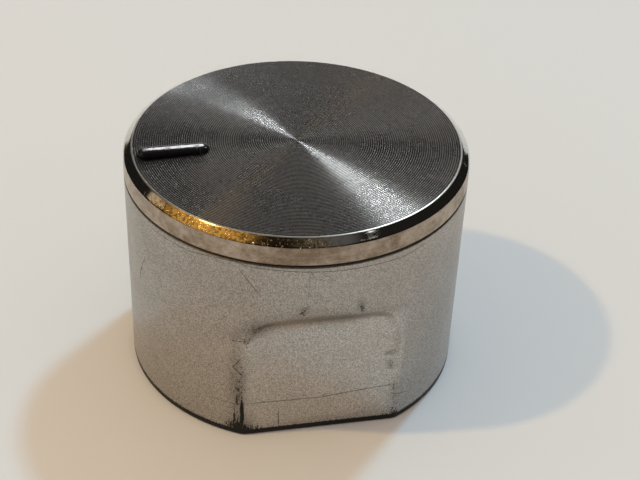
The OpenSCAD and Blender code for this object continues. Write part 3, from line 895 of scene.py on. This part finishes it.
def makeRibTree():
    tree, put, out = geometryTree("webRow", [
        ("Count", "Int", 6), ("First Angle", "Float", 0.0), ("Thickness", "Float", 0.001),
        ("Inner Radius", "Float", 0.01), ("Outer Radius", "Float", 0.02), ("Tube End", "Float", 0.01),
        ("Wall End", "Float", 0.005), ("Top", "Float", 0.02), ("Draft", "Float", 1.0),
        ("Material", "Material", None)])
    block = addNode(tree, "GeometryNodeMeshCube", {
        "Size": (1.0, 1.0, 1.0), "Vertices X": 12, "Vertices Y": 2, "Vertices Z": 12}).outputs[0]
    corner = addNode(tree, "GeometryNodeInputPosition").outputs[0]
    axes = addNode(tree, "ShaderNodeSeparateXYZ", {0: corner}).outputs
    alongX = plus(tree, axes[0], 0.5)
    alongZ = plus(tree, axes[2], 0.5)
    radius = mixValue(tree, alongX, put["Inner Radius"], put["Outer Radius"])
    lowEnd = mixValue(tree, alongX, put["Tube End"], put["Wall End"])
    height = mixValue(tree, alongZ, lowEnd, put["Top"])
    draft = mixValue(tree, alongZ, put["Draft"], 1.0)
    side = times(tree, times(tree, axes[1], put["Thickness"]), draft)
    place = addNode(tree, "ShaderNodeCombineXYZ", {0: radius, 1: side, 2: height}).outputs[0]
    block = addNode(tree, "GeometryNodeSetPosition", {"Geometry": block, "Position": place}).outputs[0]
    spots = addNode(tree, "GeometryNodePoints", {"Count": put["Count"]}).outputs[0]
    number = addNode(tree, "GeometryNodeInputIndex").outputs[0]
    step = over(tree, 2 * math.pi, put["Count"])
    turn = timesPlus(tree, number, step, put["First Angle"])
    turn = addNode(tree, "ShaderNodeCombineXYZ", {2: turn}).outputs[0]
    webs = addNode(tree, "GeometryNodeInstanceOnPoints", {
        "Points": spots, "Instance": block, "Rotation": turn}).outputs[0]
    sendOut(tree, webs, put, out)
    return tree


def makeRibs(s):
    ribs = addPiece(bpy.data.meshes.new("shellRibs"), "shellRibs")
    runTree(ribs, makeRibTree(), {
        "Count": s["count"], "First Angle": math.radians(s["firstAngle"]), "Thickness": s["thickness"] * mm,
        "Inner Radius": s["innerRadius"] * mm, "Outer Radius": s["outerRadius"] * mm,
        "Tube End": s["tubeEnd"] * mm, "Wall End": s["wallEnd"] * mm, "Top": s["top"] * mm,
        "Draft": s["draft"], "Material": silverPaint})
    soft = addBevel(ribs, s["edgeRound"], s["bevelAngle"])
    soft.harden_normals = True
    applied(ribs)
    faceOutwards(ribs.data)
    ribs.data.shade_smooth()
    return ribs


shellRibs = makeRibs(ribSizes)
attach(shellRibs, "root")
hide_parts("knob_shell")
print("ribs made:", len(shellRibs.data.polygons), "faces")

# ---- turned cap

capSizes = {
    "segments": 256, "pathRadius": 10.0, "outerRadius": 21.5, "faceRadius": 20.5, "top": 30.6, "crown": 0.3,
    "chamferHeight": 0.9, "footHeight": 27.2, "innerRadius": 20.2, "plateBottom": 29.0, "edgeRound": 0.07,
    "edgeReach": 0.13, "edgeBend": 0.3, "weld": 0.002, "sharpAngle": 50.0,
    "slotInner": 10.89, "slotOuter": 19.91, "slotWidth": 2.02, "slotFoot": 28.0, "slotTop": 32.0,
}


def makeTurnTree():
    # turns the piece's own outline round Z: its X is the radius and its Y the height
    tree, put, out = geometryTree("turnedOutline", [
        ("Segments", "Int", 128), ("Path Radius", "Float", 0.01), ("Weld", "Float", 0.000002),
        ("Material", "Material", None)])
    outline = addNode(tree, "GeometryNodeMeshToCurve", {"Mesh": put["Geometry"]}).outputs[0]
    inwards = times(tree, put["Path Radius"], -1.0)
    back = addNode(tree, "ShaderNodeCombineXYZ", {0: inwards}).outputs[0]
    outline = addNode(tree, "GeometryNodeTransform", {
        "Geometry": outline, "Translation": back, "Scale": (1.0, -1.0, 1.0)}).outputs[0]
    circle = addNode(tree, "GeometryNodeCurvePrimitiveCircle", {
        "Resolution": put["Segments"], "Radius": put["Path Radius"]}).outputs[0]
    circle = addNode(tree, "GeometryNodeSetCurveNormal", {"Curve": circle}, mode="Z_UP").outputs[0]
    solid = addNode(tree, "GeometryNodeCurveToMesh", {"Curve": circle, "Profile Curve": outline}).outputs[0]
    solid = addNode(tree, "GeometryNodeMergeByDistance", {
        "Geometry": solid, "Distance": put["Weld"]}).outputs[0]
    sendOut(tree, solid, put, out)
    return tree


def faceHeight(s, r):
    return s["top"] + s["crown"] * (1 - (r / s["faceRadius"]) ** 2)


def capOutline(s):
    # half a section, from the face's middle over the rim to the plate's middle underneath
    e, outer, inner = s["edgeRound"], s["outerRadius"], s["innerRadius"]
    foot, plate = s["footHeight"], s["plateBottom"]
    low = s["top"] - s["chamferHeight"]
    slope = (outer - s["faceRadius"]) / s["chamferHeight"]
    start = s["faceRadius"] - s["edgeReach"]
    radii = np.concatenate([[0, 0.4], np.arange(1, 20, 1.0), [19.8, start - 0.1, start]])
    outline = [(r, faceHeight(s, r)) for r in radii]
    outline += arcPoints(start, faceHeight(s, start) - s["edgeBend"], s["edgeBend"], 84, 50, 4)
    outline += [(s["faceRadius"] + t * slope, s["top"] - t) for t in (0.14, 0.3, 0.5, 0.7)]
    outline += [(outer - 0.5 * e, low + 0.6 * e), (outer - 0.1 * e, low - 0.1 * e), (outer, low - e)]
    outline += [(outer, z) for z in (low - 0.4, 28.4, 27.6, foot + 0.15)]
    outline += [(outer - 0.04, foot + 0.05), (outer - 0.15, foot), (20.8, foot), (inner + 0.15, foot)]
    outline += [(inner, foot + 0.15), (inner, 28.0), (inner, plate - 0.1), (inner - 0.1, plate)]
    return outline + [(r, plate) for r in (18, 14, 10, 5, 0)]


def stadiumOutline(inner, outer, width, steps=16):
    half = width / 2
    points = [(half * math.cos(a), outer - half + half * math.sin(a))
              for a in (math.pi * i / steps for i in range(steps + 1))]
    return points + [(half * math.cos(a), inner + half + half * math.sin(a))
                     for a in (math.pi + math.pi * i / steps for i in range(steps + 1))]


def stackOutlines(name, outlines, heights):
    # a closed solid through outlines of equal length, one at each height
    count = len(outlines[0])
    points = [(x, y, z) for outline, z in zip(outlines, heights) for x, y in outline]
    last = len(points) - count
    faces = [tuple(range(count - 1, -1, -1)), tuple(range(last, last + count))]
    for start in range(0, last, count):
        for i in range(count):
            j = (i + 1) % count
            faces.append((start + i, start + j, start + count + j, start + count + i))
    return addPiece(meshFrom(name, points, faces), name)


def makeTurnedCap(s):
    outline = capOutline(s)
    mesh = bpy.data.meshes.new("turnedCap")
    steps = [(i, i + 1) for i in range(len(outline) - 1)]
    mesh.from_pydata([(r * mm, z * mm, 0.0) for r, z in outline], steps, [])
    cap = addPiece(mesh, "turnedCap")
    runTree(cap, makeTurnTree(), {
        "Segments": s["segments"], "Path Radius": s["pathRadius"] * mm, "Weld": s["weld"] * mm,
        "Material": turnedFace})
    faceOutwards(cap.data, s["weld"] / 2)
    slotOutline = stadiumOutline(s["slotInner"], s["slotOuter"], s["slotWidth"])
    cutter = stackOutlines("slotCutter", [slotOutline] * 2, (s["slotFoot"], s["slotTop"]))
    slot = cap.modifiers.new("slot", "BOOLEAN")
    slot.operation, slot.solver, slot.object = "DIFFERENCE", "EXACT", cutter
    applied(cap)
    bpy.data.objects.remove(cutter)
    mesh = cap.data
    mesh.materials.clear()
    for material in (turnedFace, turnedEdge, polishedChamfer, capBand):
        mesh.materials.append(material)
    faceEnd, edgeEnd = s["faceRadius"] - s["edgeReach"], s["faceRadius"] + 0.1
    chamferEnd = s["top"] - s["chamferHeight"] - 0.01
    for face in mesh.polygons:
        c = face.center / mm
        radius = math.hypot(c.x, c.y)
        onTop = c.z > s["plateBottom"] + 0.8
        zones = (onTop and radius < faceEnd, onTop and radius < edgeEnd, c.z > chamferEnd, True)
        face.material_index = zones.index(True)
    mesh.shade_smooth()
    mesh.set_sharp_from_angle(angle=math.radians(s["sharpAngle"]))
    return cap


turnedCap = makeTurnedCap(capSizes)
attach(turnedCap, "root")
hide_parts("top_cap")
print("cap made:", len(turnedCap.data.polygons), "faces")

# ---- pointer bar, rounded all over its top

pointerSizes = {
    "inner": 10.95, "outer": 19.85, "width": 1.9, "foot": 28.9, "top": 31.3, "footEdge": 0.12,
    "round": 0.42, "dome": 0.01, "sharpAngle": 60.0, "weld": 0.004,
}


def makePointer(s):
    # each section is an inset from the outline and a height
    half, shoulder = s["width"] / 2, s["top"] - s["dome"] - s["round"]
    sections = [(s["footEdge"], s["foot"]), (0.0, s["foot"] + s["footEdge"]), (0.0, 29.6), (0.0, 30.3)]
    sections += [(s["round"] - r, z) for r, z in arcPoints(0, shoulder, s["round"], 0, 86, 7)]
    sections += [(half * t, s["top"] - s["dome"] * (1 - t) ** 2 * 2) for t in (0.6, 0.8, 0.999)]
    rings = [stadiumOutline(s["inner"] + inset, s["outer"] - inset, s["width"] - 2 * inset)
             for inset, z in sections]
    bar = stackOutlines("pointerBar", rings, [z for inset, z in sections])
    faceOutwards(bar.data, s["weld"])
    bar.data.shade_smooth()
    bar.data.set_sharp_from_angle(angle=math.radians(s["sharpAngle"]))
    bar.data.materials.append(pointerBlack)
    return bar


pointerBar = makePointer(pointerSizes)
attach(pointerBar, "root")
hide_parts("pointer_bar")
print("pointer made")

# ---- hub with softened edges, springs and tape

hubLook = {"edgeWidth": 0.12, "flatAngle": 0.6, "edgeAngle": 32.0, "sharpAngle": 40.0, "weld": 0.001}


def softenedCopy(nodeName, pieceName, s, material):
    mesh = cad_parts[nodeName].data.copy()
    bm = bmesh.new()
    bm.from_mesh(mesh)
    bmesh.ops.remove_doubles(bm, verts=bm.verts, dist=s["weld"] * mm)
    flat = math.radians(s["flatAngle"])
    bmesh.ops.dissolve_limit(bm, angle_limit=flat, verts=bm.verts, edges=bm.edges)
    bm.to_mesh(mesh)
    bm.free()
    mesh.materials.clear()
    mesh.materials.append(material)
    for face in mesh.polygons:
        face.material_index = 0
    piece = addPiece(mesh, pieceName)
    addBevel(piece, s["edgeWidth"], s["edgeAngle"])
    applied(piece)
    piece.data.shade_smooth()
    piece.data.set_sharp_from_angle(angle=math.radians(s["sharpAngle"]))
    return piece


stemHub = softenedCopy("stem_hub", "stemHub", hubLook, hubPlastic)
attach(stemHub, "root")
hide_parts("stem_hub")


def dress(nodeName, material):
    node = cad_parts[nodeName]
    for holder in node.material_slots:
        holder.material = material


for nodeName, material in (
        ("knob_shell", silverPaint), ("top_cap", turnedFace), ("pointer_bar", pointerBlack),
        ("stem_hub", hubPlastic), ("hub_spring_ring", springSteel),
        ("stem_spring_clip", springSteel), ("cap_adhesive", adhesiveTape)):
    dress(nodeName, material)
print("hub and springs made")

# ---- floor, lamps and world

studio = {
    "floorColour": (0.80, 0.79, 0.78, 1.0),
    "floorShade": (0.775, 0.765, 0.755, 1.0),
    "floorSize": 3.0,
    "floorHeight": -0.02,
    # azimuth, elevation, distance, size, colour, power, seen in matt surfaces, seen in glossy ones
    "lamps": [
        (90.0, 55.2, 1.0, 0.045, (1.0, 0.70, 0.31), 2.4, True, False),
        (90.0, 55.2, 1.0, 0.12, (1.0, 0.64, 0.22), 1.2, False, True),
        (-44.5, 54.3, 2.0, 0.18, (0.30, 0.705, 1.0), 13.5, True, False),
        (-44.5, 54.3, 2.0, 0.32, (0.86, 0.95, 1.0), 12.5, False, True),
        (-7.0, 32.4, 2.0, 0.13, (0.98, 0.98, 1.0), 0.5, False, True),
        (-126.0, 54.0, 2.0, 0.10, (1.0, 1.0, 1.0), 0.05, False, True),
    ],
    "air": (0.60, 0.525, 0.46, 1.0),
    "airReflected": (0.010, 0.009, 0.008, 1.0),
    # azimuth, elevation, inner and outer half angle, colour; only reflections see them
    "cards": [
        (-13.0, 32.0, 26.0, 46.0, (0.15, 0.145, 0.14, 1.0)),
        (-13.0, 3.0, 10.0, 30.0, (0.95, 0.92, 0.88, 1.0)),
        (-162.0, 59.0, 6.0, 18.0, (0.085, 0.083, 0.08, 1.0)),
        (97.0, 47.0, 14.0, 28.0, (0.52, 0.33, 0.10, 1.0)),
        (63.0, 31.0, 4.0, 7.0, (0.50, 0.40, 0.27, 1.0)),
    ],
}


def makeFloor(s):
    half, z = s["floorSize"] / mm, s["floorHeight"]
    corners = [(-half, -half, z), (half, -half, z), (half, half, z), (-half, half, z)]
    mesh = meshFrom("floor", corners, [(0, 1, 2, 3)])
    material, tree, shader, place = newMaterial("floorBoard", Specular_IOR_Level=0.25)
    tone = noiseNode(tree, place, 0.012, 3.0, 0.5)
    colour = mixColour(tree, mapRange(tree, tone, 0.3, 0.7, 0.0, 0.5), s["floorColour"], s["floorShade"])
    grain = noiseNode(tree, place, 1.4, 3.0, 0.6)
    feed(tree, shader, Base_Color=colour, Roughness=mapRange(tree, grain, 0.3, 0.7, 0.55, 0.65),
         Normal=bumpFrom(tree, times(tree, grain, 0.004)))
    mesh.materials.append(material)
    floor = addPiece(mesh, "floor")


def makeLamps(s):
    for number, (azimuth, elevation, distance, size, colour, power, matt, glossy) in enumerate(s["lamps"]):
        away = direction(azimuth, elevation)
        data = bpy.data.lights.new(f"lamp{number}", "AREA")
        data.shape, data.size, data.color, data.energy = "DISK", size, colour, power
        lamp = bpy.data.objects.new(f"lamp{number}", data)
        bpy.context.scene.collection.objects.link(lamp)
        lamp.visible_diffuse, lamp.visible_glossy = matt, glossy
        lamp.location = away * distance
        lamp.rotation_mode = "QUATERNION"
        lamp.rotation_quaternion = away.to_track_quat("Z", "Y")


def makeWorld(s):
    world = bpy.data.worlds.new("studioAir")
    bpy.context.scene.world = world
    world.use_nodes = True
    tree = world.node_tree
    tree.nodes.clear()
    ray = addNode(tree, "ShaderNodeTexCoord").outputs["Generated"]
    shown = s["airReflected"]
    for azimuth, elevation, inner, outer, colour in s["cards"]:
        closeness = vectorMath(tree, "DOT_PRODUCT", ray, direction(azimuth, elevation))
        mask = mapRange(tree, closeness, math.cos(math.radians(outer)), math.cos(math.radians(inner)))
        shown = mixColour(tree, mask, shown, colour)
    path = addNode(tree, "ShaderNodeLightPath").outputs
    seenDirectly = mathNode(tree, "LESS_THAN", path["Diffuse Depth"], 0.5)
    reflected = times(tree, path["Is Glossy Ray"], seenDirectly)
    colour = mixColour(tree, reflected, s["air"], shown)
    sky = addNode(tree, "ShaderNodeBackground", {"Color": colour, "Strength": 1.0}).outputs[0]
    out = addNode(tree, "ShaderNodeOutputWorld")
    tree.links.new(sky, out.inputs["Surface"])


makeFloor(studio)
makeLamps(studio)
makeWorld(studio)
bpy.context.scene.view_settings.view_transform = "Standard"
print("studio made")
